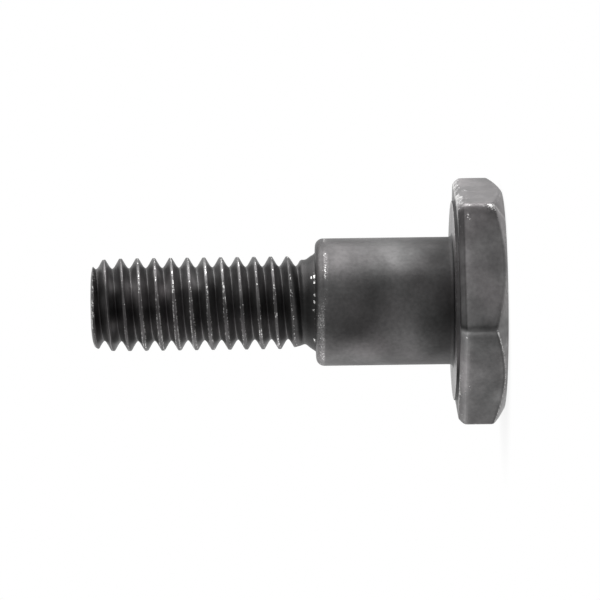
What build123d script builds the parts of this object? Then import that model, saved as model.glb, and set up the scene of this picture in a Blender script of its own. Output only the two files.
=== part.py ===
"""Clutch bolt: a hexagon head shoulder bolt, made in one piece.

The bolt stands on the flat outer face of its head. The origin is the centre of that face and +Z runs
along the axis, from the head through the shoulder to the tip of the thread. Sizes are in millimetres.
"""

from build123d import *
from math import atan, ceil, cos, degrees, radians, tan
import os

os.makedirs("parts", exist_ok=True)

# Hexagon head
HEX_ACROSS_FLATS = 19.0
HEX_THICKNESS = 4.0
HEX_TURN = 17.0
HEX_CORNER_RADIUS = 0.5
OUTER_FACE_MARGIN = 0.35
OUTER_CHAMFER_ANGLE = 30.0
UNDERSIDE_BEVEL = 0.45
WASHER_FACE_MARGIN = 1.05
WASHER_FACE_HEIGHT = 0.25

# Shoulder, the journal that the clutch part turns on
SHOULDER_DIAMETER = 10.8
SHOULDER_LENGTH = 11.6
SHOULDER_END_RADIUS = 0.7
END_ROUND_SHARE = 0.6
UNDERHEAD_BEVEL = 0.3

# Neck, the short stretch of blank between the shoulder and the thread
NECK_STEP = 0.3
NECK_LENGTH = 1.15
NECK_TAPER_LENGTH = 0.75
NECK_TAPER_RISE = 0.53

# Rolled thread of 18 turns to the inch, right hand
THREAD_DIAMETER = 7.85
THREAD_PITCH = 25.4 / 18
THREAD_CREST = 0.18
THREAD_ROOT = 0.2
THREAD_FLANK_ANGLE = 30.0
THREADED_LENGTH = 17.3
THREAD_RUNOUT_TURNS = 0.75
CREST_RISE_LENGTH = 1.15
FULL_DEPTH_START = 0.5
TIP_CHAMFER_LENGTH = 0.7
TIP_FACE_MARGIN = 0.1

# How far a cutter reaches past the surface that it cuts
CUTTER_REACH = 0.05

# Places along the axis
underside_z = HEX_THICKNESS + WASHER_FACE_HEIGHT
shoulder_z = underside_z + SHOULDER_LENGTH
neck_z = shoulder_z + NECK_LENGTH
tip_z = neck_z + THREADED_LENGTH + FULL_DEPTH_START

# Radii about the axis
flat_radius = HEX_ACROSS_FLATS / 2
corner_radius = flat_radius / cos(radians(30))
outer_face_radius = flat_radius - OUTER_FACE_MARGIN
washer_face_radius = flat_radius - WASHER_FACE_MARGIN
shoulder_radius = SHOULDER_DIAMETER / 2
crest_radius = THREAD_DIAMETER / 2
neck_radius = crest_radius - NECK_STEP
taper_radius = neck_radius + NECK_TAPER_RISE
end_round = min(SHOULDER_END_RADIUS, END_ROUND_SHARE * (shoulder_radius - taper_radius))

# The groove between two turns of the thread, seen in section
flank_slope = tan(radians(THREAD_FLANK_ANGLE))
groove_depth = (THREAD_PITCH - THREAD_CREST - THREAD_ROOT) / (2 * flank_slope)
root_radius = crest_radius - groove_depth
groove_z = neck_z + FULL_DEPTH_START


def ring_edges(part, radius, height):
    """The circular edges of a part that have this radius and lie at this height."""
    circles = part.edges().filter_by(GeomType.CIRCLE)
    level = circles.filter_by_position(Axis.Z, height - 0.001, height + 0.001)
    return level.filter_by(lambda edge: abs(edge.radius - radius) < 0.001)


def groove_section():
    """The groove's section, beside the axis, where the thread first has its full depth."""
    reach = groove_depth + CUTTER_REACH
    half_root = THREAD_ROOT / 2
    half_mouth = half_root + reach * flank_slope
    with BuildSketch(Plane.XZ) as section:
        with BuildLine():
            Polyline(
                (root_radius, groove_z - half_root),
                (root_radius + reach, groove_z - half_mouth),
                (root_radius + reach, groove_z + half_mouth),
                (root_radius, groove_z + half_root),
                close=True,
            )
        make_face()
    return section.sketch


# One turn of the groove, from where it first has its full depth
with BuildPart() as groove_turn:
    with BuildLine() as turn_path:
        Helix(THREAD_PITCH, THREAD_PITCH, root_radius, center=(0, 0, groove_z))
    sweep(groove_section(), path=turn_path.line, is_frenet=True)

# The groove's run-out, which winds back towards the head and climbs out of the blank
with BuildPart() as runout:
    runout_length = THREAD_RUNOUT_TURNS * THREAD_PITCH
    runout_angle = atan((groove_depth + CUTTER_REACH) / runout_length)
    with BuildLine() as runout_path:
        climb = Helix(
            THREAD_PITCH / cos(runout_angle),
            runout_length,
            root_radius,
            center=(0, 0, groove_z),
            direction=(0, 0, -1),
            cone_angle=degrees(runout_angle),
            mode=Mode.PRIVATE,
        )
        add(climb.rotate(Axis.Z, 180))
    sweep(groove_section(), path=runout_path.line, is_frenet=True)

with BuildPart() as clutch_bolt:
    # Hexagon, with a bevel all round its edge on the side of the shank
    with BuildSketch():
        RegularPolygon(flat_radius, 6, major_radius=False, rotation=HEX_TURN)
    extrude(amount=HEX_THICKNESS)
    chamfer(clutch_bolt.edges().group_by(Axis.Z)[-1], UNDERSIDE_BEVEL)

    # Lightly rounded upright corners
    with BuildSketch() as rounded_hexagon:
        RegularPolygon(flat_radius, 6, major_radius=False, rotation=HEX_TURN)
        fillet(rounded_hexagon.vertices(), HEX_CORNER_RADIUS)
    extrude(amount=HEX_THICKNESS, mode=Mode.INTERSECT)

    # Cone turned on the outer side, which leaves an arc on each flat
    chamfer_width = corner_radius - outer_face_radius
    with BuildSketch(Plane.XZ):
        with BuildLine():
            Polyline(
                (outer_face_radius, 0),
                (corner_radius, 0),
                (corner_radius, chamfer_width * tan(radians(OUTER_CHAMFER_ANGLE))),
                close=True,
            )
        make_face()
    revolve(axis=Axis.Z, mode=Mode.SUBTRACT)

    # Washer face, shoulder, neck and thread blank, turned as one profile
    with BuildSketch(Plane.XZ):
        with BuildLine():
            Polyline(
                (0, HEX_THICKNESS),
                (washer_face_radius, HEX_THICKNESS),
                (washer_face_radius, underside_z),
                (shoulder_radius, underside_z),
                (shoulder_radius, shoulder_z),
                (taper_radius, shoulder_z),
                (neck_radius, shoulder_z + NECK_TAPER_LENGTH),
                (neck_radius, neck_z),
                (crest_radius, neck_z + CREST_RISE_LENGTH),
                (crest_radius, tip_z - TIP_CHAMFER_LENGTH),
                (root_radius - TIP_FACE_MARGIN, tip_z),
                (0, tip_z),
                close=True,
            )
        make_face()
    revolve(axis=Axis.Z)

    # Bevel that stiffens the corner under the head, and the shoulder's rounded end
    chamfer(ring_edges(clutch_bolt, shoulder_radius, underside_z), UNDERHEAD_BEVEL)
    fillet(ring_edges(clutch_bolt, shoulder_radius, shoulder_z), end_round)

    # Thread, cut turn by turn from the run-out to past the tip
    turn_count = ceil((tip_z - groove_z) / THREAD_PITCH + 0.5)
    add(runout.part, mode=Mode.SUBTRACT)
    for turn in range(turn_count):
        with Locations((0, 0, turn * THREAD_PITCH)):
            add(groove_turn.part, mode=Mode.SUBTRACT)

clutch_bolt.part.label = "clutch_bolt"
export_step(clutch_bolt.part, "parts/clutch_bolt.step")
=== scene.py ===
"""Looks of the clutch bolt: a fine mesh with its rolled thread, worn edges and black oxide finish, with
painted light and shade in its lightness.

The bolt stands on its head and the photograph shows it lying, so the camera is rolled: picture left is
+Z and picture up is +X. Lengths in the mesh code are millimetres and become metres in the mesh. Plain
factors in the looks are strengths, found by comparing renders with the photograph.
"""

import math

import bmesh
import bpy
import numpy as np
from mathutils import Matrix, Vector


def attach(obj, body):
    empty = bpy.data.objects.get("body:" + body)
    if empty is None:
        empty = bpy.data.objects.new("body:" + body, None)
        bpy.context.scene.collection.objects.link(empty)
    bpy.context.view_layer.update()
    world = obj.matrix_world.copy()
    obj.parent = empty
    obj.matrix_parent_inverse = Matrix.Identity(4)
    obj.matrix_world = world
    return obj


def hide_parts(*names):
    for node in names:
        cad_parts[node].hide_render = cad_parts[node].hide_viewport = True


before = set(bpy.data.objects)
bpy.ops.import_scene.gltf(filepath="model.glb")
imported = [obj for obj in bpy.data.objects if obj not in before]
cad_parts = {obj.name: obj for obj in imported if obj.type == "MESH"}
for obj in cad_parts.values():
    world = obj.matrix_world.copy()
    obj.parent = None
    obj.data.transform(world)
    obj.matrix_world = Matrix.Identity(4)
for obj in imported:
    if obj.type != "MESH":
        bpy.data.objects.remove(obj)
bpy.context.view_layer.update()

MM = 0.001

# Head
HEX_APOTHEM = 9.5
HEX_THICKNESS = 4.0
HEX_TURN = math.radians(17)
HEX_CORNER_ROUND = 0.5
OUTER_FACE_RADIUS = 9.15
OUTER_FACE_INSET = 0.12
OUTER_CHAMFER_SLOPE = 1 / math.tan(math.radians(30))
CONE_EDGE_ROUND = 0.4
CONE_END_Z = 1.6
BEVEL_EDGE_ROUND = 0.3
UNDERSIDE_BEVEL = 0.45
BEVEL_OUTREACH = 0.5
UNDERSIDE_INSET = 0.05
WASHER_RADIUS = 8.45
WASHER_HEIGHT = 0.25
WASHER_FOOT = 0.04
WASHER_FOOT_HEIGHT = 0.05
HALF_FLAT = math.pi / 6

# Shoulder and neck
SHOULDER_RADIUS = 5.4
SHOULDER_LENGTH = 11.6
SHOULDER_END_ROUND = 0.7
UNDERHEAD_ROUND = 0.35
NECK_RADIUS = 3.62
NECK_LENGTH = 1.15
NECK_TAPER_LENGTH = 0.8
NECK_TAPER_SLOPE = 0.72
NECK_TAPER_ROUND = 0.12

# Thread
CREST_RADIUS = 3.925
PITCH = 25.4 / 18
CREST_FLAT = 0.18
ROOT_FLAT = 0.2
ROOT_LIFT = 0.04
ROOT_ROUND = 0.3
CREST_ROUND = 0.05
FLANK = math.tan(math.radians(30))
RUNOUT_TURNS = 0.75
RUNOUT_REACH = 0.05
RUNOUT_ROUND = 0.5
RUNOUT_ROUND_TURNS = 0.35
CREST_RISE_LENGTH = 1.15
CREST_RISE_ROUND = 0.03
FULL_DEPTH_START = 0.5
THREADED_LENGTH = 17.3

# Tip: how far its long and its short rounding fall, each over a length, and how the thread slims with it
TIP_FALL = 0.5
TIP_FALL_LENGTH = 0.6
TIP_EDGE_FALL = 0.9
TIP_EDGE_LENGTH = 0.1
TIP_SLIMMING = 0.33
TIP_SLIMMING_START = 0.3
TIP_SLIMMING_FULL = 0.7
TIP_FACE_INSET = 0.15

UNDERSIDE_Z = HEX_THICKNESS + WASHER_HEIGHT
SHOULDER_Z = UNDERSIDE_Z + SHOULDER_LENGTH
NECK_Z = SHOULDER_Z + NECK_LENGTH
GROOVE_Z = NECK_Z + FULL_DEPTH_START
TIP_Z = GROOVE_Z + THREADED_LENGTH
BEVEL_Z = HEX_THICKNESS - UNDERSIDE_BEVEL
END_ROUND_Z = SHOULDER_Z - SHOULDER_END_ROUND
DEPTH = (PITCH - CREST_FLAT - ROOT_FLAT) / (2 * FLANK)
ROOT_RADIUS = CREST_RADIUS - DEPTH + ROOT_LIFT

# The bolt's side is a sheet wound along the thread from one height to another. Its rows lie closer
# together at crest and root by the crowding. Cuts at the two heights and vertices beside them have a
# tolerance, and vertices nearer than the merge distance become one
SHEET_START = SHOULDER_Z + 0.12
SHEET_END = TIP_Z - 0.12
SHEET_COLUMNS = 120
SHEET_ROWS = 28
ROW_CROWDING = 0.55
CUT_TOLERANCE = 1e-5
MERGE_DISTANCE = 2e-3
LEVEL_TOLERANCE = 5e-3

# Rings of the mesh: distances below the end face, places in the corner of neck and shoulder (out from the
# sheet's start, above the shoulder), and heights on the head's side, closest at the cone and the bevel
TIP_DROPS = (0.09, 0.065, 0.045, 0.03, 0.018, 0.008, 0.0)
NECK_CORNER = ((0.03, 0.06), (0.08, 0.02))
HEAD_HEIGHTS = np.concatenate([
    [0.03],
    np.linspace(0.08, 1.3, 26),
    np.linspace(CONE_END_Z, 3.2, 6),
    HEX_THICKNESS - np.array([0.58, 0.5, 0.46, 0.42, 0.36, 0.24, 0.12, 0.05]),
])

# Rings from the head's edge to the washer face, as shares of the way, and at the washer face's edge, as
# distances in from its rim and below its face
UNDERSIDE_SHARES = (0.15, 0.6, 0.9, 1.0)
WASHER_EDGE = ((0.0, 0.07), (0.02, 0.02), (0.07, 0.0), (0.5, 0.0))
WASHER_INNER_MARGIN = 1.3

# Angle at which the round of the shoulder's end starts, in degrees, and numbers of rings on that round, the
# shoulder, the round under the head and the washer face
END_START = 88
END_RINGS = 16
SHOULDER_RINGS = 30
UNDERHEAD_RINGS = 8
WASHER_RINGS = 5

# Distance between the rings of a flat end face, and from an edge to the ring beside it, which is at most
# this share of the way to the next edge
CAP_SPACING = 0.4
EDGE_SPACING = 0.06
EDGE_SHARE = 0.2

# Degrees from a corner of the hexagon to the columns of the head's mesh on one side of it
CORNER_COLUMNS = np.concatenate([
    np.arange(0, 2.01, 0.2),
    [2.4, 3, 4, 5.5, 7.5, 10, 13, 16.5, 20, 23.5, 27],
])

# Edges that turn by more than this keep a sharp shade
SHARP_ANGLE = math.radians(50)

# Angles about +Z: the side that the photograph shows, the corner between its top and middle flat, and the
# corner between its middle and low flat
CAMERA_SIDE = math.radians(-90)
WORN_HIGHLIT_CORNER = HEX_TURN - math.radians(60)
DARK_CORNER = WORN_HIGHLIT_CORNER - 2 * HALF_FLAT

# Heights between which the crests turn to the dull look of the tip, and between which the doubling of
# their line comes and goes
TIP_LOOK = (31.2, 32.4)
DOUBLED_LOOK = (25.4, 26.2, 29.8, 30.6)

# Distances in mm within which a vertex belongs to a face, an edge or the washer face's rim
FACE_NEAR = 0.001
EDGE_NEAR = 0.01
RIM_NEAR = 0.06

# Half distance between doubled lines on a crest, and half widths of line, burnish, crest and root
LINE_SPLIT = 0.15
LINE_WIDTH = 0.05
BURNISH_WIDTH = 0.12
CREST_WIDTH = 0.16
ROOT_WIDTH = 0.13

# Patches in the lightness, lighter, or darker where the gain is negative: height, degrees above the middle
# of the camera's side, half size along the axis in mm, half size around it in degrees, and gain
THREAD_PATCHES = (
    (33.1, 26, 0.4, 14, 5.0),
    (33.0, -32, 0.4, 11, 5.5),
    (31.2, 26, 0.9, 16, 3.0),
    (29.2, 45, 0.3, 9, 5.0),
    (28.3, 20, 0.5, 14, 3.0),
    (26.3, 30, 0.6, 12, 2.6),
)
SHOULDER_PATCHES = (
    (8.7, 41, 1.8, 11, 0.12),
    (10.6, 78, 5.0, 14, 0.35),
    (11.0, 36, 0.9, 9, -0.1),
    (8.8, -27, 1.6, 14, 0.4),
    (12.5, -52, 2.5, 10, 0.2),
)
HEAD_PATCHES = (
    (1.3, -8, 0.6, 6, 0.35),
    (0.8, -55, 0.5, 4, 0.9),
    (3.1, 38, 0.4, 7, 0.45),
    (2.9, 8, 0.5, 9, 0.3),
)

# Crumbs of bare steel in the corner of neck and shoulder, as patches of wear of one size
NECK_CRUMBS = tuple(
    (SHOULDER_Z + above, side, 0.08, 2.0, 1.1)
    for above, side in (
        (0.4, 32), (0.12, 34), (0.12, 31), (0.1, 24),
        (0.12, 9), (0.14, 0), (0.2, -9), (0.14, -52),
    )
)

# Random lumps: how far their grid is shifted at most, size of the table of values, and the factors that
# pick from it
GRID_SHIFT = 50
TABLE_SIZE = 4096
TABLE_FACTORS = (73856093, 19349663, 83492791)

# Finish: colours, grain as a number of cycles to the metre, and height of its bumps in metres
OXIDE_GREY = (0.0495, 0.0490, 0.0490, 1)
OXIDE_WARM = (0.0510, 0.0485, 0.0492, 1)
BARE_STEEL = (0.55, 0.545, 0.54, 1)
TINT_GRAIN = 170
CLOUD_GRAIN = 230
GLOSS_GRAIN = 420
BUMP_GRAIN = 2600
FINE_GRAIN = 3000
BREAK_GRAIN = 7000
SPECKLE_GRAIN = 8500
BUMP_STRENGTH = 0.25
BUMP_HEIGHT = 0.00003

# Floor, in metres: nearly white near the bolt, where the shadow shows, and white from the fade's end on
FLOOR_RADIUS = 0.05
FLOOR_SIDES = 96
FLOOR_Z = -0.00002
FLOOR_COLOUR = (0.9, 0.9, 0.9, 1)
FLOOR_ROUGHNESS = 0.9
FLOOR_FADE = (0.010, 0.016)
FLOOR_WHITE_NEAR = 0.85

# Light of the surroundings, and lamps: name, place and size in metres, and power in watts
WORLD_LIGHT = 0.4
LAMPS = (
    ("key", (0.30, 0.0, 0.12), 0.40, 3.0),
    ("low", (-0.25, 0.05, 0.05), 0.30, 0.5),
)
LAMP_AIM = (0, 0, 0.017)

# Camera, in mm, with the size of a pixel at the bolt
PIXEL = 0.0847
PICTURE_WIDTH = 600
SENSOR_WIDTH = 36
CAMERA_X = 0.21
CAMERA_DISTANCE = 360.0
CAMERA_HEIGHT = 20.0
AIM_HEIGHT = 17.16
AXIS_TILT = math.radians(0.77)
NEAREST_SEEN = 10.0


def between(value, low, high):
    """0 up to the low value, 1 from the high value on, and in proportion between them."""
    return np.clip((value - low) / (high - low), 0, 1)


def bump(value, centre, width):
    """A smooth hump of height 1."""
    return np.exp(-(((value - centre) / width) ** 2))


def soft_min(a, b, width):
    """The lower of two values, rounded where they cross."""
    h = np.clip(0.5 + 0.5 * (b - a) / width, 0, 1)
    return b + (a - b) * h - width * h * (1 - h)


def soft_max(a, b, width):
    """The higher of two values, rounded where they cross."""
    return -soft_min(-np.asarray(a), -np.asarray(b), width)


def tip_radius(drop):
    """Radius of the rounded tip at a distance below the end face."""
    long_fall = TIP_FALL * np.exp(-drop / TIP_FALL_LENGTH)
    return CREST_RADIUS - long_fall - TIP_EDGE_FALL * np.exp(-drop / TIP_EDGE_LENGTH)


def tip_slimming(drop):
    """How much lower the whole thread is, crests and roots, at a distance below the end face."""
    fall = TIP_SLIMMING * np.exp(-drop / TIP_FALL_LENGTH)
    return fall * between(drop, TIP_SLIMMING_START, TIP_SLIMMING_FULL)


def blank_radius(z):
    """Radius of the blank that the thread is rolled on: tapered neck, rising crests and rounded tip."""
    rise = (CREST_RADIUS - NECK_RADIUS) / CREST_RISE_LENGTH
    neck = NECK_RADIUS + np.maximum(z - NECK_Z, 0) * rise
    body = soft_min(neck, CREST_RADIUS, CREST_RISE_ROUND)
    drop = np.maximum(TIP_Z - z, 0)
    body = np.minimum(body, tip_radius(drop) + tip_slimming(drop))
    taper = NECK_RADIUS + (SHOULDER_Z + NECK_TAPER_LENGTH - z) * NECK_TAPER_SLOPE
    return soft_max(body, taper, NECK_TAPER_ROUND)


def thread_radius(angle, z):
    """Radius of the thread at an unwrapped angle from +X and a height."""
    turn = angle / (2 * math.pi)
    nearest = np.round((z - GROOVE_Z) / PITCH - turn)
    radius = blank_radius(z)
    for step in (-1, 0, 1):
        along = turn + nearest + step
        across = np.abs(z - GROOVE_Z - along * PITCH)
        climb = np.maximum(-along / RUNOUT_TURNS, 0) * (DEPTH + RUNOUT_REACH)
        wall = soft_max(0, (across - ROOT_FLAT / 2) / FLANK, ROOT_ROUND)
        edge_round = CREST_ROUND + RUNOUT_ROUND * np.clip(RUNOUT_ROUND_TURNS - along, 0, 1)
        radius = soft_min(radius, ROOT_RADIUS + climb + wall, edge_round)
    return radius - tip_slimming(np.maximum(TIP_Z - z, 0))


def sheet_points():
    """Points of the sheet: one line of rows, a pitch high, for each column along the helix."""
    part = np.arange(SHEET_ROWS) / SHEET_ROWS
    crowded = part - ROW_CROWDING * np.sin(4 * math.pi * part) / (4 * math.pi)
    first = math.floor((SHEET_START - GROOVE_Z) / PITCH) - 2
    last = math.ceil((SHEET_END - GROOVE_Z) / PITCH) + 1
    turns = first + np.arange((last - first) * SHEET_COLUMNS + 1) / SHEET_COLUMNS
    z = GROOVE_Z + PITCH * turns[:, None] + PITCH * crowded[None, :]
    angle = np.repeat(2 * math.pi * turns[:, None], SHEET_ROWS, axis=1)
    radius = thread_radius(angle, z)
    return np.stack([radius * np.cos(angle), radius * np.sin(angle), z], axis=-1)


def threaded_sheet():
    """A sheet wound along the helix and cut level at both ends, as a bmesh with two open edges."""
    bm = bmesh.new()
    grid = [[bm.verts.new(p) for p in line] for line in sheet_points()]
    for i in range(len(grid) - 1):
        for j in range(SHEET_ROWS):
            if j + 1 < SHEET_ROWS:
                near, far = grid[i][j + 1], grid[i + 1][j + 1]
            elif i + SHEET_COLUMNS + 1 < len(grid):
                near, far = grid[i + SHEET_COLUMNS][0], grid[i + SHEET_COLUMNS + 1][0]
            else:
                continue
            bm.faces.new((grid[i][j], grid[i + 1][j], far, near))
    for level, normal in ((SHEET_START, -1), (SHEET_END, 1)):
        bmesh.ops.bisect_plane(
            bm,
            geom=bm.verts[:] + bm.edges[:] + bm.faces[:],
            dist=CUT_TOLERANCE,
            plane_co=(0, 0, level),
            plane_no=(0, 0, normal),
            clear_outer=True,
        )
    bmesh.ops.remove_doubles(bm, verts=bm.verts[:], dist=MERGE_DISTANCE)
    return bm


def angle_of(vert):
    """Angle of a vertex about the axis."""
    return math.atan2(vert.co.y, vert.co.x)


def open_loop(bm, level):
    """The open edge at one height, as vertices in order of angle."""
    edges = [e for e in bm.edges if e.is_boundary]
    found = {v for e in edges for v in e.verts if abs(v.co.z - level) < LEVEL_TOLERANCE}
    return sorted(found, key=angle_of)


def bridge(bm, lower, upper):
    """Joins two loops of one length. The first is nearer the head, or the inner one of a face."""
    for i in range(len(lower)):
        j = (i + 1) % len(lower)
        bm.faces.new((lower[i], lower[j], upper[j], upper[i]))


def zip_loops(bm, inner, outer):
    """Joins two loops of any lengths by triangles, in order of angle. The inner loop is wound first."""
    a = [angle_of(v) for v in inner]
    b = [angle_of(v) for v in outer]
    i = j = 0
    while i < len(inner) or j < len(outer):
        next_a = a[i + 1] if i + 1 < len(inner) else a[0] + 2 * math.pi
        next_b = b[j + 1] if j + 1 < len(outer) else b[0] + 2 * math.pi
        take_inner = j >= len(outer) or (i < len(inner) and next_a < next_b)
        if take_inner:
            corner = (inner[i], inner[(i + 1) % len(inner)], outer[j % len(outer)])
            i += 1
        else:
            corner = (inner[i % len(inner)], outer[(j + 1) % len(outer)], outer[j])
            j += 1
        bm.faces.new(corner[::-1])


def ring(bm, like, radius, z):
    """A circle of vertices at the angles of another loop."""
    return [bm.verts.new((*(radius * v.co.xy.normalized()), z)) for v in like]


def cap(bm, loop, z, up):
    """Closes a loop by a flat face: evenly spaced rings, then a small fan about the axis."""
    start = loop[0].co.xy.length
    count = math.ceil(start / CAP_SPACING)
    for radius in np.linspace(start, 0, count, endpoint=False)[1:]:
        fresh = ring(bm, loop, radius, z)
        if up:
            bridge(bm, loop, fresh)
        else:
            bridge(bm, fresh, loop)
        loop = fresh
    middle = bm.verts.new((0, 0, z))
    for i in range(len(loop)):
        j = (i + 1) % len(loop)
        bm.faces.new((loop[i], loop[j], middle) if up else (loop[j], loop[i], middle))


def arc(centre, radius, start, end, count):
    """Places on an arc in the plane of radius and height. Its angles are in degrees."""
    turns = np.radians(np.linspace(start, end, count))
    return [(centre[0] + radius * math.cos(t), centre[1] + radius * math.sin(t)) for t in turns]


def run(a, b, count):
    """Places between a and b, with one close to each end so that edges keep their shade."""
    a, b = np.array(a), np.array(b)
    edge = min(EDGE_SPACING / np.linalg.norm(b - a), EDGE_SHARE)
    return [tuple(a + (b - a) * t) for t in np.linspace(edge, 1 - edge, count)]


def shank_profile():
    """Radius and height from the neck over the shoulder to the washer face, after the sheet's start."""
    root = blank_radius(np.array(SHEET_START)).item()
    places = [(root + out, SHOULDER_Z + above) for out, above in NECK_CORNER]
    end_centre = (SHOULDER_RADIUS - SHOULDER_END_ROUND, END_ROUND_Z)
    places += arc(end_centre, SHOULDER_END_ROUND, END_START, 0, END_RINGS)
    foot = (SHOULDER_RADIUS, UNDERSIDE_Z + UNDERHEAD_ROUND)
    places += run(places[-1], foot, SHOULDER_RINGS)
    foot_centre = (SHOULDER_RADIUS + UNDERHEAD_ROUND, foot[1])
    places += arc(foot_centre, UNDERHEAD_ROUND, 180, 270, UNDERHEAD_RINGS)
    places += run(places[-1], (WASHER_RADIUS - WASHER_INNER_MARGIN, UNDERSIDE_Z), WASHER_RINGS)
    return places


def head_angles():
    """Angles of the head's columns, closest together at the six corners."""
    part = np.concatenate([-CORNER_COLUMNS[:0:-1], CORNER_COLUMNS, [30]])
    turns = [math.degrees(HEX_TURN) + 60 * k + part for k in range(6)]
    return np.radians(np.concatenate(turns))


def hexagon(angle, apothem, corner):
    """Distance from the axis to a hexagon with rounded corners."""
    off = np.abs((angle - HEX_TURN + HALF_FLAT) % (2 * HALF_FLAT) - HALF_FLAT)
    flat = apothem / np.cos(HALF_FLAT - off)
    centre = (apothem - corner) / math.cos(HALF_FLAT)
    inside = np.maximum(corner**2 - (centre * np.sin(off)) ** 2, 0)
    rounded = centre * np.cos(off) + np.sqrt(inside)
    touch = math.atan2(corner * math.sin(HALF_FLAT), centre + corner * math.cos(HALF_FLAT))
    return np.where(off < touch, rounded, flat)


def head_side(angle, z):
    """Radius of the head's side: hexagon, turned cone on the outer side and bevel on the other."""
    side = hexagon(angle, HEX_APOTHEM, HEX_CORNER_ROUND)
    cone = OUTER_FACE_RADIUS + z * OUTER_CHAMFER_SLOPE
    drop = max(z - BEVEL_Z, -BEVEL_OUTREACH)
    bevel = hexagon(angle, HEX_APOTHEM - drop, HEX_CORNER_ROUND)
    return soft_min(soft_min(side, cone, CONE_EDGE_ROUND), bevel, BEVEL_EDGE_ROUND)


def head_levels(angle):
    """Rings of the head from its outer face to the washer face, as radii and a height."""
    def circle(radius):
        return np.full(len(angle), radius)

    levels = [(circle(OUTER_FACE_RADIUS - OUTER_FACE_INSET), 0.0)]
    levels += [(head_side(angle, z), z) for z in HEAD_HEIGHTS]
    edge = head_side(angle, HEX_THICKNESS) - UNDERSIDE_INSET
    levels.append((edge, HEX_THICKNESS))
    for share in UNDERSIDE_SHARES:
        levels.append((edge + (WASHER_RADIUS + WASHER_FOOT - edge) * share, HEX_THICKNESS))
    levels.append((circle(WASHER_RADIUS), HEX_THICKNESS + WASHER_FOOT_HEIGHT))
    for inward, below in WASHER_EDGE:
        levels.append((circle(WASHER_RADIUS - inward), UNDERSIDE_Z - below))
    return levels


def build_head(bm):
    """The head, from its outer face to the washer face. Returns the open loop on the washer face."""
    angle = head_angles()
    before = None
    for radius, z in head_levels(angle):
        loop = [bm.verts.new((r * math.cos(t), r * math.sin(t), z)) for r, t in zip(radius, angle)]
        loop.sort(key=angle_of)
        if before is None:
            cap(bm, loop, 0.0, up=False)
        else:
            bridge(bm, before, loop)
        before = loop
    return before


def build_tip(bm):
    """Rounds the tip from the sheet's end on and closes its flat face."""
    loop = open_loop(bm, SHEET_END)
    for drop in TIP_DROPS:
        limit = tip_radius(drop)
        fresh = []
        for v in loop:
            flat = v.co.xy
            radius = min(flat.length, limit)
            fresh.append(bm.verts.new((*(radius * flat.normalized()), TIP_Z - drop)))
        bridge(bm, loop, fresh)
        loop = fresh
    inner = ring(bm, loop, tip_radius(0.0) - TIP_FACE_INSET, TIP_Z)
    bridge(bm, loop, inner)
    cap(bm, inner, TIP_Z, up=True)


def build_shank(bm):
    """The shank, from the sheet's start to the washer face. Returns the open loop on the washer face."""
    loop = open_loop(bm, SHEET_START)
    for radius, z in shank_profile():
        fresh = ring(bm, loop, radius, z)
        bridge(bm, fresh, loop)
        loop = fresh
    return loop


def build_bolt():
    """The whole bolt as one closed mesh."""
    bm = threaded_sheet()
    build_tip(bm)
    inner = build_shank(bm)
    outer = build_head(bm)
    zip_loops(bm, inner, outer)
    bmesh.ops.triangulate(bm, faces=[f for f in bm.faces if len(f.verts) > 4])
    for v in bm.verts:
        v.co *= MM
    for f in bm.faces:
        f.smooth = True
    mesh = bpy.data.meshes.new("clutch_bolt_fine")
    bm.to_mesh(mesh)
    bm.free()
    mesh.set_sharp_from_angle(angle=SHARP_ANGLE)
    bolt = bpy.data.objects.new("clutch_bolt_fine", mesh)
    bpy.context.scene.collection.objects.link(bolt)
    return bolt


def lumps(places, size, seed):
    """Smooth random values from 0 to 1 at places, with lumps about as large as size."""
    rng = np.random.default_rng(seed)
    table = rng.random(TABLE_SIZE)
    grid = places / size + rng.random(3) * GRID_SHIFT
    low = np.floor(grid).astype(int)
    part = grid - low
    part = part * part * (3 - 2 * part)
    total = np.zeros(len(places))
    for corner in range(8):
        step = np.array([corner & 1, (corner >> 1) & 1, corner >> 2])
        picks = (low + step) * TABLE_FACTORS
        index = picks[:, 0] ^ picks[:, 1] ^ picks[:, 2]
        weight = np.prod(np.where(step, part, 1 - part), axis=1)
        total += weight * table[index % TABLE_SIZE]
    return total


def spots(places, size, seed, gain, cut):
    """Random spots from 0 to 1: lumps times a gain, less a cut."""
    return np.clip(lumps(places, size, seed) * gain - cut, 0, 1)


def turned(angle, centre):
    """Difference of angles, from -pi to pi."""
    return (angle - centre + math.pi) % (2 * math.pi) - math.pi


def degrees_from(angle, centre):
    """Difference of angles in degrees, from -180 to 180."""
    return np.degrees(turned(angle, centre))


def patches(table, angle, z):
    """Soft patches of a table, each at its height and its angle above the middle of the camera's side."""
    total = np.zeros(len(z))
    for height, side, tall, wide, gain in table:
        away = turned(angle, CAMERA_SIDE + math.radians(side))
        total += gain * bump(z, height, tall) * bump(away, 0, math.radians(wide))
    return total


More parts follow.
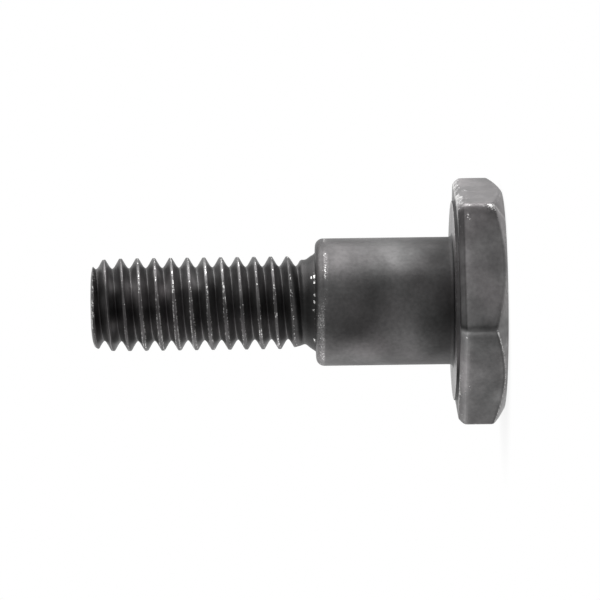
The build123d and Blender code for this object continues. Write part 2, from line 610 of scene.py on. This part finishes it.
def crest_looks(places, angle, z, off_crest, near_tip):
    """Burnish and wear of the crests. Where the seam of rolling is open, their line is split in two."""
    faces_up = np.cos(angle)
    split = np.clip(0.8 - 1.6 * faces_up, 0, 1) * spots(places, 3.0, 3, 2.4, 0.5) * (1 - near_tip)
    doubled = np.interp(z, DOUBLED_LOOK, (0, 1, 1, 0)) * np.clip(0.3 - 2 * faces_up, 0, 1)
    line_at = LINE_SPLIT * np.maximum(split, doubled)
    line = bump(off_crest, line_at, LINE_WIDTH - 0.02 * near_tip)
    fill = bump(off_crest, 0, BURNISH_WIDTH) * (1 - near_tip) * (1 - 0.7 * doubled)
    burnish = line * (0.9 * lumps(places, 1.1, 5) + 1.4 * near_tip)
    burnish += 0.4 * fill * lumps(places, 0.5, 8)
    low = np.clip(0.2 - 2 * faces_up, 0, 1) * (1 - near_tip)
    patchy = 1.9 * lumps(places, 0.35, 4) - 0.5 + 0.35 * low + 0.5 * doubled
    strength = 0.72 - 0.5 * near_tip + 0.1 * faces_up + 0.2 * doubled
    return burnish, line * np.clip(patchy, 0, 1) * strength


def flank_light(places, angle, z, off_crest, near_tip):
    """Lightness of the flanks: clouds and patches, with painted shade beside the crests and in the roots.
    """
    faces_up = np.cos(angle)
    light = 0.95 + lumps(places, 1.6, 6) ** 2
    lighter = 1.3 * between(z, 27, 32) * spots(places, 1.3, 7, 2, 1) + patches(THREAD_PATCHES, angle, z)
    crest = bump(off_crest, 0, CREST_WIDTH + 0.08 * near_tip)
    # Painted shade at the crests, less on the upper side
    dimmed = (0.42 + 0.38 * near_tip) * crest * np.clip(1.6 - 1.3 * faces_up, 0, 1)
    light = light * (1 - dimmed) + lighter * (1 - crest)
    # Painted shade in the roots, deepest where the thread faces neither up nor down in the picture, and
    # near the tip
    root = bump(off_crest, PITCH / 2, ROOT_WIDTH)
    return light * (1 - 0.6 * root * np.clip(1.3 - 1.6 * np.abs(faces_up) + near_tip, 0, 1))


def thread_looks(places, angle, z):
    """Lightness and wear of the thread: rubbed crests and dark flanks."""
    phase = (z - GROOVE_Z) / PITCH - angle / (2 * math.pi)
    wander = 0.07 * (lumps(places, 0.5, 2) - 0.5)
    off_crest = np.abs((phase % 1 - 0.5) * PITCH + wander)
    near_tip = between(z, *TIP_LOOK)
    burnish, wear = crest_looks(places, angle, z, off_crest, near_tip)
    return flank_light(places, angle, z, off_crest, near_tip) + burnish, np.clip(wear, 0, 1)


def neck_looks(places, angle, z):
    """Lightness and wear of the neck: nearly black beside the thread, with crumbs at the shoulder."""
    # Darker towards the thread: painted shade of the recess, with darker oxide
    light = np.interp(z - SHOULDER_Z, [0.0, 0.45, 0.95, NECK_LENGTH], [0.47, 0.34, 0.24, 0.12])
    wear = bump(z, SHOULDER_Z + 0.08, 0.06) * np.minimum(spots(places, 0.25, 24, 5, 3.9), 0.8)
    return light, wear + patches(NECK_CRUMBS, angle, z)


def shank_looks(places, angle, z, radius):
    """Lightness and wear from the neck to the end face of the tip."""
    light, wear = neck_looks(places, angle, z)
    thread_light, thread_wear = thread_looks(places, angle, z)
    fade = between(z, NECK_Z - 0.4, NECK_Z + 0.8)
    light = light + (thread_light - light) * fade
    wear = wear + (thread_wear - wear) * fade
    tip = between(z, TIP_Z - 0.6, TIP_Z - 0.3)
    near_rim = np.clip((radius - 2.0) / 1.2, 0.45, 1)
    wear += 0.55 * tip * near_rim * spots(places, 0.5, 25, 2, 0.45)
    light += 0.6 * tip * (1 - near_rim)
    return light, wear


def shoulder_looks(places, angle, z):
    """Lightness and wear of the shoulder: clouds, painted shade in a zone at the head, and a rubbed end
    with a painted reflection on its lower side.
    """
    above = z - UNDERSIDE_Z
    upper = np.clip(np.cos(angle) / 0.72, 0, 1)
    # Painted shade near the head, deeper on the upper side, and at the head's foot in the middle of the
    # camera's side
    light = 1 - np.interp(above, [0, 1.0, 3.6], [1, 1, 0]) * (0.38 + 0.27 * upper)
    facing = bump(turned(angle, CAMERA_SIDE), 0, 0.9)
    light *= 1 - 0.5 * facing * np.interp(above, [0.1, 0.5], [1, 0])
    light += patches(SHOULDER_PATCHES, angle, z)

    # A band on the lower side of the end's round: painted reflection with some wear; the upper side of the
    # end's round is a little darker
    lower = np.clip(0.5 - 2 * np.cos(angle), 0, 1)
    on_end = between(z, END_ROUND_Z - 0.02, END_ROUND_Z + 0.03)
    reflection_and_wear_band = on_end * lower * (0.35 + 0.65 * lumps(places, 0.45, 21))
    line = bump(z, END_ROUND_Z - 0.05, 0.06) * (1 - 0.85 * lower) * spots(places, 0.8, 22, 1.8, 0.2)
    light += 1.5 * reflection_and_wear_band - 0.15 * on_end * (1 - lower) + 0.8 * line
    crumbs = bump(z, END_ROUND_Z - 0.2, 0.35) * (1 - 0.7 * lower) * spots(places, 0.35, 23, 2, 1.25)
    return light, 0.45 * line + 0.45 * crumbs + 0.33 * reflection_and_wear_band


def beside_dark(angle):
    """How dark the painted shade at the washer face's foot is: 0 in the middle of the camera's side, 1 well
    beside it. It also sets how much the washer face's rim is rubbed.
    """
    side = degrees_from(angle, CAMERA_SIDE)
    return np.interp(side, [-45, -28, 3, 20, 33, 45], [1, 0, 0, 0.5, 0.8, 1])


def beside_light(angle):
    """How much painted reflection the washer face has: 0.25 in the middle of the camera's side, 1 well
    beside it. It also scales the rubbed rim of the bevel.
    """
    return np.clip(np.abs(turned(angle, CAMERA_SIDE)) * 1.5 - 0.4, 0.25, 1)


def on_flat(angle, middle):
    """1 on the flat about one angle, 0 on the others."""
    return np.clip(16 - np.abs(turned(angle, middle)) * 30, 0, 1)


def top_flat(angle):
    """1 on the flat that is highest in the photograph."""
    return on_flat(angle, WORN_HIGHLIT_CORNER + HALF_FLAT)


def low_flat(angle):
    """1 on the flat that is lowest in the photograph."""
    return on_flat(angle, DARK_CORNER - HALF_FLAT)


def on_side(radius):
    """1 outside the washer face's rim, 0 within it."""
    return between(radius, WASHER_RADIUS, WASHER_RADIUS + 0.2)


def mark_bevel(light, wear, places, angle, z, radius):
    """Adds the bevel: rubbed on the top flat, in painted light on the low one and painted shade on the
    others, with a painted shade line at its edge and a rubbed rim.
    """
    top, low, side = top_flat(angle), low_flat(angle), on_side(radius)
    start = BEVEL_Z - 0.12 - 0.06 * low
    bevel = between(z, start, start + 0.12) * side
    # Painted shade along the bevel's edge, and painted light and shade on the bevel by flat
    light *= 1 - 0.25 * bump(z, BEVEL_Z, 0.09) * side * (1 - top)
    light += bevel * (0.4 * top + 1.82 * low - 0.62)
    wear += 0.7 * bevel * top * spots(places, 0.45, 11, 2.4, 0.65)
    lowest = np.clip(-2 * np.cos(angle) - 0.9, 0, 1)
    wear += 0.5 * bevel * low * lowest * spots(places, 0.45, 11, 2, 0.9)
    edge_radius = hexagon(angle, HEX_APOTHEM, HEX_CORNER_ROUND) - UNDERSIDE_BEVEL
    rim = bump(z, HEX_THICKNESS, 0.06) * bump(radius, edge_radius, 0.2)
    wear += 0.8 * rim * beside_light(angle) * (0.25 + 0.8 * lumps(places, 1.0, 12))
    wear += 0.8 * between(z, 3.0, 3.4) * side * spots(places, 0.3, 17, 8, 6.7)


def mark_corners(light, wear, places, angle, z):
    """Adds the corners: a worn line with a painted highlight and painted shade beside it on one, a painted
    dark reflection with a painted highlight beside it on the next, and some wear on all six.
    """
    off_worn_highlit = degrees_from(angle, WORN_HIGHLIT_CORNER)
    wear += 0.4 * bump(off_worn_highlit, -0.3, 0.7) * (z > 0.5) * spots(places, 0.3, 13, 1.7, 0.2)
    wear += 0.75 * bump(off_worn_highlit, -1.2, 1.8) * bump(z, 1.25, 0.35)
    # Painted highlight along the worn corner, with painted shade beside it
    light += 0.9 * bump(off_worn_highlit, -0.9, 1.0) - 0.15 * bump(off_worn_highlit, -3.6, 1.8) * light
    # A painted dark reflection along the next corner, with a painted highlight beside it
    dark = degrees_from(angle, DARK_CORNER)
    line = bump(dark, 1.2, 0.8) * between(z, 0.4, 0.8)
    light *= 1 - (0.25 + 0.25 * lumps(places, 0.45, 11)) * line
    light += 0.9 * bump(dark, -1.7, 1.1)
    corner = degrees_from(6 * angle, 6 * HEX_TURN) / 6
    wear += 0.4 * bump(corner, 0, 0.8) * spots(places, 0.5, 14, 2, 0.9)


def mark_cone(light, wear, places, angle, z, radius):
    """Adds the cone on the outer side, lighter than most flats by a painted reflection of the floor, with a
    lighter arc where it meets each, partly painted highlight and partly rubbed.
    """
    top, low = top_flat(angle), low_flat(angle)
    cone_radius = OUTER_FACE_RADIUS + z * OUTER_CHAMFER_SLOPE
    inside = hexagon(angle, HEX_APOTHEM, HEX_CORNER_ROUND) - cone_radius
    # Painted reflection of the floor on the cone, less on the top flat
    light += np.clip(inside / 0.15, 0, 1) * (z < CONE_END_Z) * (2.7 - 2.5 * top)
    arc_line = bump(inside, -0.02, 0.1) * (z < CONE_END_Z)
    # The arc in painted highlight, strongest on the low flat, and lighter near the outer face
    light += arc_line * (0.6 + 3.0 * low) + 0.6 * np.clip((0.85 - z) / 0.5, 0, 1) * on_side(radius)
    wear += 0.42 * arc_line * low
    wear += arc_line * (0.55 + 0.45 * top) * spots(places, 0.6, 15, 1.9, 0.7)


def head_looks(places, angle, z, radius):
    """Lightness and wear of the head: flats in painted light and shade, rubbed bevel, corners and cone,
    crumbs near its edges, and painted shade at the foot of the washer wall.
    """
    # The top flat is lighter and the low flat a little darker: painted light and shade
    light = 1.55 + 1.05 * top_flat(angle) - 0.12 * low_flat(angle) + 0.5 * (lumps(places, 0.9, 10) - 0.5)
    wear = np.zeros(len(places))
    mark_bevel(light, wear, places, angle, z, radius)
    mark_corners(light, wear, places, angle, z)
    mark_cone(light, wear, places, angle, z, radius)

    strip = bump(z, BEVEL_Z - 0.35, 0.25) * on_side(radius)
    light += 0.22 * strip
    wear += 0.75 * strip * np.clip(np.cos(angle) + 0.8, 0, 1) * spots(places, 0.3, 18, 6, 4.2)
    wear *= 1 - bump(degrees_from(angle, DARK_CORNER), 0.9, 1.3)
    wear += 0.7 * bump(z, 0.1, 0.12) * on_side(radius) * spots(places, 0.8, 16, 2, 0.95)
    # Painted shade in the corner between the washer wall and the underside, deepest beside the camera's
    # side
    shaded = np.interp(radius - WASHER_RADIUS, [0, 0.2, 0.6], [0.75, 0.5, 0])
    light *= 1 - bump(z, HEX_THICKNESS, 0.02) * shaded * (0.55 + 0.45 * beside_dark(angle))
    light += patches(HEAD_PATCHES, angle, z)
    return light, np.clip(wear, 0, 1)


def washer_wall_looks(angle):
    """Lightness and wear of the low wall round the washer face: painted shade that darkens it beside the
    camera's side.
    """
    return 1.0 - 0.9 * beside_dark(angle), np.zeros(len(angle))


def washer_face_looks(places, angle, radius):
    """Lightness and wear of the washer face: a face made light by a painted reflection, lighter on the
    lower side and darker in the middle of the camera's side, speckled and rubbed at its rim.
    """
    light = (4.6 - 0.7 * np.cos(angle)) * beside_light(angle)
    edge = (0.1 + 0.35 * beside_dark(angle)) * bump(radius, WASHER_RADIUS - 0.05, 0.1)
    return light, 0.05 + 0.4 * lumps(places, 0.4, 31) + edge


def paint(mesh):
    """Stores on each vertex the lightness of its oxide, with painted light and shade in it, and how much
    bare steel shows.
    """
    places = np.empty(len(mesh.vertices) * 3, dtype=np.float32)
    mesh.vertices.foreach_get("co", places)
    places = places.reshape(-1, 3).astype(float) / MM
    x, y, z = places.T
    radius = np.hypot(x, y)
    angle = np.arctan2(y, x)

    on_shoulder = (z > UNDERSIDE_Z) & (z <= SHOULDER_Z + EDGE_NEAR)
    on_head = z <= HEX_THICKNESS + FACE_NEAR
    at_rim = np.abs(radius - WASHER_RADIUS) < RIM_NEAR
    on_wall = (z > HEX_THICKNESS - FACE_NEAR) & (z < UNDERSIDE_Z - EDGE_NEAR) & at_rim
    on_face = (z >= UNDERSIDE_Z - EDGE_NEAR) & (z <= UNDERSIDE_Z + FACE_NEAR)
    zones = (
        (on_shoulder, shoulder_looks(places, angle, z)),
        (on_head, head_looks(places, angle, z, radius)),
        (on_wall, washer_wall_looks(angle)),
        (on_face, washer_face_looks(places, angle, radius)),
    )
    oxide_and_painted_light, wear = shank_looks(places, angle, z, radius)
    for zone, (light, bare) in zones:
        oxide_and_painted_light[zone] = light[zone]
        wear[zone] = bare[zone]

    for name, values in (("oxide_and_painted_light", np.clip(oxide_and_painted_light, 0.05, 6)), ("wear", np.clip(wear, 0, 1))):
        layer = mesh.attributes.new(name, "FLOAT", "POINT")
        layer.data.foreach_set("value", values.astype(np.float32))


class Graph:
    """The nodes of one material or world."""

    def __init__(self, owner):
        owner.use_nodes = True
        self.nodes = owner.node_tree.nodes
        self.links = owner.node_tree.links

    def feed(self, socket, value):
        """Gives an input a plain value or the output of another node."""
        if isinstance(value, bpy.types.NodeSocket):
            self.links.new(value, socket)
        else:
            socket.default_value = value

    def add(self, kind, output, inputs=None, **settings):
        """Adds a node with its settings and inputs, and returns one of its outputs."""
        node = self.nodes.new("ShaderNode" + kind)
        for name, value in settings.items():
            setattr(node, name, value)
        for key, value in (inputs or {}).items():
            self.feed(node.inputs[key], value)
        return node.outputs[output]

    def math(self, operation, a, b):
        """A sum, product or other operation on two values."""
        return self.add("Math", "Value", {0: a, 1: b}, operation=operation)

    def remap(self, value, low, high, to_low, to_high):
        """A value carried over from one range to another."""
        inputs = {"Value": value, "From Min": low, "From Max": high, "To Min": to_low, "To Max": to_high}
        return self.add("MapRange", "Result", inputs)

    def mix(self, share, a, b):
        """One colour blended into another."""
        return self.add("Mix", "Result", {"Factor": share, "A": a, "B": b}, data_type="RGBA")

    def seen_rays(self):
        """1 for rays from the camera, mirrors and glass, so that they meet white surroundings."""
        path = self.nodes.new("ShaderNodeLightPath")
        total = path.outputs["Is Camera Ray"]
        for kind in ("Is Glossy Ray", "Is Transmission Ray"):
            total = self.math("MAXIMUM", total, path.outputs[kind])
        return total


def black_oxide():
    """Dark satin oxide with clouds and grain, made lighter and darker by the painted light and shade stored
    on the vertices, and bare steel where it is rubbed off.
    """
    material = bpy.data.materials.new("black_oxide")
    graph = Graph(material)
    shader = graph.nodes["Principled BSDF"]
    shader.inputs["Metallic"].default_value = 1.0
    place = graph.add("TexCoord", "Object")

    def grain(scale, detail=2):
        return graph.add("TexNoise", "Fac", {"Vector": place, "Scale": scale, "Detail": detail})

    clouds = graph.remap(grain(CLOUD_GRAIN), 0.32, 0.68, 0.66, 1.34)
    fine = graph.remap(grain(FINE_GRAIN, 3), 0.3, 0.7, 0.88, 1.12)
    # The vertices' lightness: the oxide's own tone with painted light and shade in it
    oxide_and_painted_light = graph.add("Attribute", "Fac", attribute_name="oxide_and_painted_light")
    light = graph.math("MULTIPLY", graph.math("MULTIPLY", oxide_and_painted_light, clouds), fine)
    wear = graph.add("Attribute", "Fac", attribute_name="wear")
    rubbed = graph.remap(wear, 0.05, 0.3, 0, 1)
    speckle = graph.remap(grain(SPECKLE_GRAIN), 0.35, 0.65, -0.45, 0.45)
    speckle = graph.math("MULTIPLY", speckle, rubbed)
    light = graph.math("MULTIPLY", light, graph.math("ADD", speckle, 1.0))
    broken = graph.remap(grain(BREAK_GRAIN), 0.3, 0.7, -0.45, 0.45)
    bare = graph.remap(graph.math("ADD", wear, broken), 0.5, 0.7, 0, 0.85)

    warmth = graph.remap(grain(TINT_GRAIN), 0.35, 0.65, 0, 1)
    tint = graph.mix(warmth, OXIDE_GREY, OXIDE_WARM)
    lit = graph.add("VectorMath", "Vector", {0: tint, "Scale": light}, operation="SCALE")
    bumps = {"Strength": BUMP_STRENGTH, "Distance": BUMP_HEIGHT, "Height": grain(BUMP_GRAIN)}
    graph.feed(shader.inputs["Base Color"], graph.mix(bare, lit, BARE_STEEL))
    graph.feed(shader.inputs["Roughness"], graph.remap(grain(GLOSS_GRAIN), 0.3, 0.7, 0.4, 0.5))
    graph.feed(shader.inputs["Normal"], graph.add("Bump", "Normal", bumps))
    return material


def floor_white():
    """Pale floor, nearly white to the camera near the bolt and white further out."""
    material = bpy.data.materials.new("floor_white")
    graph = Graph(material)
    shader = graph.nodes["Principled BSDF"]
    shader.inputs["Base Color"].default_value = FLOOR_COLOUR
    shader.inputs["Roughness"].default_value = FLOOR_ROUGHNESS
    place = graph.add("TexCoord", "Object")
    distance = graph.add("VectorMath", "Value", {0: place}, operation="LENGTH")
    white = graph.remap(distance, *FLOOR_FADE, FLOOR_WHITE_NEAR, 1)
    share = graph.math("MULTIPLY", graph.seen_rays(), white)
    glow = graph.add("Emission", "Emission")
    blend = graph.add("MixShader", "Shader", {"Fac": share, 1: shader.outputs["BSDF"], 2: glow})
    graph.feed(graph.nodes["Material Output"].inputs["Surface"], blend)
    return material


def add_floor():
    """A round floor just under the bolt."""
    mesh = bpy.data.meshes.new("floor")
    turns = [2 * math.pi * k / FLOOR_SIDES for k in range(FLOOR_SIDES)]
    corners = [(FLOOR_RADIUS * math.cos(t), FLOOR_RADIUS * math.sin(t), FLOOR_Z) for t in turns]
    mesh.from_pydata(corners, [], [list(range(FLOOR_SIDES))])
    mesh.materials.append(floor_white())
    floor = bpy.data.objects.new("floor", mesh)
    bpy.context.scene.collection.objects.link(floor)


def add_world():
    """Surroundings that light the bolt softly and look white."""
    world = bpy.data.worlds.new("studio")
    bpy.context.scene.world = world
    graph = Graph(world)
    background = graph.nodes["Background"]
    background.inputs["Color"].default_value = (1, 1, 1, 1)
    strength = graph.remap(graph.seen_rays(), 0, 1, WORLD_LIGHT, 1)
    graph.feed(background.inputs["Strength"], strength)


def add_lamp(name, place, size, power):
    """A soft square lamp that faces the bolt."""
    data = bpy.data.lights.new(name, "AREA")
    data.shape = "SQUARE"
    data.size = size
    data.energy = power
    lamp = bpy.data.objects.new(name, data)
    lamp.location = place
    aim = Vector(LAMP_AIM) - Vector(place)
    lamp.rotation_euler = aim.to_track_quat("-Z", "Y").to_euler()
    bpy.context.scene.collection.objects.link(lamp)


def set_camera():
    """Looks along +Y, with +X up in the picture and +Z to its left."""
    data = bpy.data.cameras.new("camera")
    camera = bpy.data.objects.new("camera", data)
    middle = Vector((CAMERA_X, 0, AIM_HEIGHT)) * MM
    place = Vector((CAMERA_X, -CAMERA_DISTANCE, CAMERA_HEIGHT)) * MM
    back = (place - middle).normalized()
    up = Vector((math.cos(AXIS_TILT), 0, -math.sin(AXIS_TILT)))
    right = up.cross(back).normalized()
    up = back.cross(right)
    turn = Matrix((right, up, back)).transposed()
    camera.matrix_world = Matrix.Translation(place) @ turn.to_4x4()
    data.sensor_width = SENSOR_WIDTH
    data.lens = SENSOR_WIDTH * CAMERA_DISTANCE / (PICTURE_WIDTH * PIXEL)
    data.clip_start = NEAREST_SEEN * MM
    bpy.context.scene.collection.objects.link(camera)
    bpy.context.scene.camera = camera


bolt = build_bolt()
paint(bolt.data)
bolt.data.materials.append(black_oxide())
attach(bolt, "root")
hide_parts("clutch_bolt")
add_floor()
add_world()
for lamp in LAMPS:
    add_lamp(*lamp)
set_camera()
bpy.context.scene.view_settings.view_transform = "Standard"
